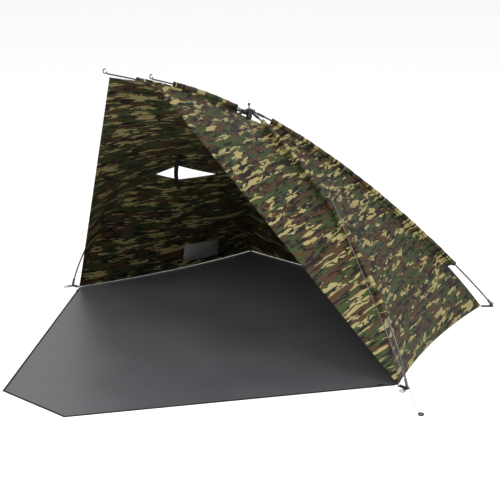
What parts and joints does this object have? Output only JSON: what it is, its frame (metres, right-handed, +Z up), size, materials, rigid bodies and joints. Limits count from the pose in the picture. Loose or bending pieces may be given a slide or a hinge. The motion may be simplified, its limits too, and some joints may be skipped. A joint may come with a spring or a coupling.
{
  "type": "pop up ground blind",
  "caption": "Hub-framed pop up ground blind with a peaked front hood, camouflage cloth panels, slot window, sewn-in floor and a fold-up door.",
  "frame": {"origin": "on the ground under the centre of the floor panel", "axes": "+X to the shelter's own right as seen from its open front, +Y from the door towards the rear, +Z up"},
  "size_m": [2.5378, 2.5362, 1.3934],
  "materials": {
    "camo_cloth": "printed woven cloth",
    "sleeve_cloth": "printed woven cloth",
    "floor_cloth": "coated woven cloth, satin",
    "binding_tape": "woven tape",
    "pole": "drawn glass-fibre rod",
    "hub_plastic": "moulded nylon",
    "foot_plastic": "moulded nylon",
    "steel": "plated wire and pin",
    "zip_metal": "black enamel",
    "mesh": "knitted mesh",
    "cord": "twisted cord"
  },
  "bodies": {
    "ground": {"floor_panel": "floor_cloth", "hood_panel": "camo_cloth", "left_front_panel": "camo_cloth", "right_front_panel": "camo_cloth", "left_side_panel": "camo_cloth", "right_side_panel": "camo_cloth", "rear_panel": "camo_cloth", "crown_patch": "camo_cloth", "left_edge_tape": "camo_cloth", "right_edge_tape": "camo_cloth", "left_arm_sleeve": "sleeve_cloth", "right_arm_sleeve": "sleeve_cloth", "front_left_sleeve": "sleeve_cloth", "front_right_sleeve": "sleeve_cloth", "rear_left_sleeve": "sleeve_cloth", "rear_right_sleeve": "sleeve_cloth", "window_strap": "binding_tape", "window_binding": "binding_tape", "mesh_pocket": "mesh", "pocket_hem": "mesh", "guy_line": "cord", "guy_loop": "hub_plastic", "front_left_corner_tab": "binding_tape", "front_right_corner_tab": "binding_tape", "rear_left_corner_tab": "binding_tape", "rear_right_corner_tab": "binding_tape", "guy_ring": "hub_plastic"},
    "door": {"door_panel": "floor_cloth", "door_edge_tape": "binding_tape"},
    "left_zip": {"left_zip_slider": "zip_metal"},
    "right_zip": {"right_zip_slider": "zip_metal"},
    "hub": {"hub_body": "hub_plastic", "hub_cap": "hub_plastic", "hub_pins": "steel", "hub_straps": "binding_tape"},
    "release": {"release_pin": "hub_plastic"},
    "front_left_leg": {"front_left_pole": "pole", "front_left_knuckle": "hub_plastic", "front_left_foot": "foot_plastic"},
    "front_right_leg": {"front_right_pole": "pole", "front_right_knuckle": "hub_plastic", "front_right_foot": "foot_plastic"},
    "rear_left_leg": {"rear_left_pole": "pole", "rear_left_knuckle": "hub_plastic", "rear_left_foot": "foot_plastic"},
    "rear_right_leg": {"rear_right_pole": "pole", "rear_right_knuckle": "hub_plastic", "rear_right_foot": "foot_plastic"},
    "left_arm": {"left_arm_pole": "pole", "left_arm_knuckle": "hub_plastic", "left_arm_hook": "hub_plastic"},
    "right_arm": {"right_arm_pole": "pole", "right_arm_knuckle": "hub_plastic", "right_arm_hook": "hub_plastic"},
    "front_left_ring": {"front_left_stake_ring": "steel"},
    "front_right_ring": {"front_right_stake_ring": "steel"},
    "rear_left_ring": {"rear_left_stake_ring": "steel"},
    "rear_right_ring": {"rear_right_stake_ring": "steel"}
  },
  "joints": [
    {"name": "door_fold", "type": "hinge", "parent": "ground", "child": "door", "pos_m": [0, -0.616, 0.001], "axis": [-1, 0, 0], "range_deg": [0, 66]},
    {"name": "right_zip_slide", "type": "slide", "parent": "door", "child": "right_zip", "axis": [-0.5873, -0.8093, 0], "range_m": [0, 1.2]},
    {"name": "left_zip_slide", "type": "slide", "parent": "door", "child": "left_zip", "axis": [0.5873, -0.8093, 0], "range_m": [0, 1.2]},
    {"name": "hub_drop", "type": "slide", "parent": "ground", "child": "hub", "axis": [0, 0, -1], "range_m": [0, 0.94], "deforming": ["hood_panel", "left_front_panel", "right_front_panel", "left_side_panel", "right_side_panel", "rear_panel", "crown_patch", "left_edge_tape", "right_edge_tape", "left_arm_sleeve", "right_arm_sleeve", "front_left_sleeve", "front_right_sleeve", "rear_left_sleeve", "rear_right_sleeve", "window_strap", "window_binding", "mesh_pocket", "pocket_hem", "guy_line", "guy_loop"]},
    {"name": "front_right_swing", "type": "hinge", "parent": "hub", "child": "front_right_leg", "pos_m": [0.02447, -0.38011, 1.11], "axis": [-0.2043, -0.9789, 0], "range_deg": [0, 46.9]},
    {"name": "front_left_swing", "type": "hinge", "parent": "hub", "child": "front_left_leg", "pos_m": [-0.02447, -0.38011, 1.11], "axis": [-0.2043, 0.9789, 0], "range_deg": [0, 46.9]},
    {"name": "rear_right_swing", "type": "hinge", "parent": "hub", "child": "rear_right_leg", "pos_m": [0.01629, -0.35603, 1.11], "axis": [0.7587, -0.6514, 0], "range_deg": [0, 40.7]},
    {"name": "rear_left_swing", "type": "hinge", "parent": "hub", "child": "rear_left_leg", "pos_m": [-0.01629, -0.35603, 1.11], "axis": [0.7587, 0.6514, 0], "range_deg": [0, 40.7]},
    {"name": "right_arm_swing", "type": "hinge", "parent": "hub", "child": "right_arm", "pos_m": [0.0132, -0.39964, 1.11], "axis": [-0.9858, -0.1681, 0], "range_deg": [0, 50.1]},
    {"name": "left_arm_swing", "type": "hinge", "parent": "hub", "child": "left_arm", "pos_m": [-0.0132, -0.39964, 1.11], "axis": [-0.9858, 0.1681, 0], "range_deg": [0, 50.1]},
    {"name": "release_pull", "type": "slide", "parent": "hub", "child": "release", "axis": [0, 0, 1], "range_m": [0, 0.012]},
    {"name": "front_left_ring_lift", "type": "hinge", "parent": "ground", "child": "front_left_ring", "pos_m": [-1.15436, -0.64165, 0.0047], "axis": [-0.9869, 0.1614, 0], "range_deg": [0, 100]},
    {"name": "front_right_ring_lift", "type": "hinge", "parent": "ground", "child": "front_right_ring", "pos_m": [1.15436, -0.64165, 0.0047], "axis": [-0.9869, -0.1614, 0], "range_deg": [0, 100]},
    {"name": "rear_left_ring_lift", "type": "hinge", "parent": "ground", "child": "rear_left_ring", "pos_m": [-0.8679, 0.67414, 0.0047], "axis": [0.8939, -0.4483, 0], "range_deg": [0, 100]},
    {"name": "rear_right_ring_lift", "type": "hinge", "parent": "ground", "child": "rear_right_ring", "pos_m": [0.8679, 0.67414, 0.0047], "axis": [0.8939, 0.4483, 0], "range_deg": [0, 100]}
  ],
  "couplings": [
    {"joint": "front_left_swing", "follows": "hub_drop", "rad_per_m": 0.86973},
    {"joint": "front_right_swing", "follows": "hub_drop", "rad_per_m": 0.86973},
    {"joint": "rear_left_swing", "follows": "hub_drop", "rad_per_m": 0.75418},
    {"joint": "rear_right_swing", "follows": "hub_drop", "rad_per_m": 0.75418},
    {"joint": "left_arm_swing", "follows": "hub_drop", "rad_per_m": 0.92837},
    {"joint": "right_arm_swing", "follows": "hub_drop", "rad_per_m": 0.92837}
  ]
}
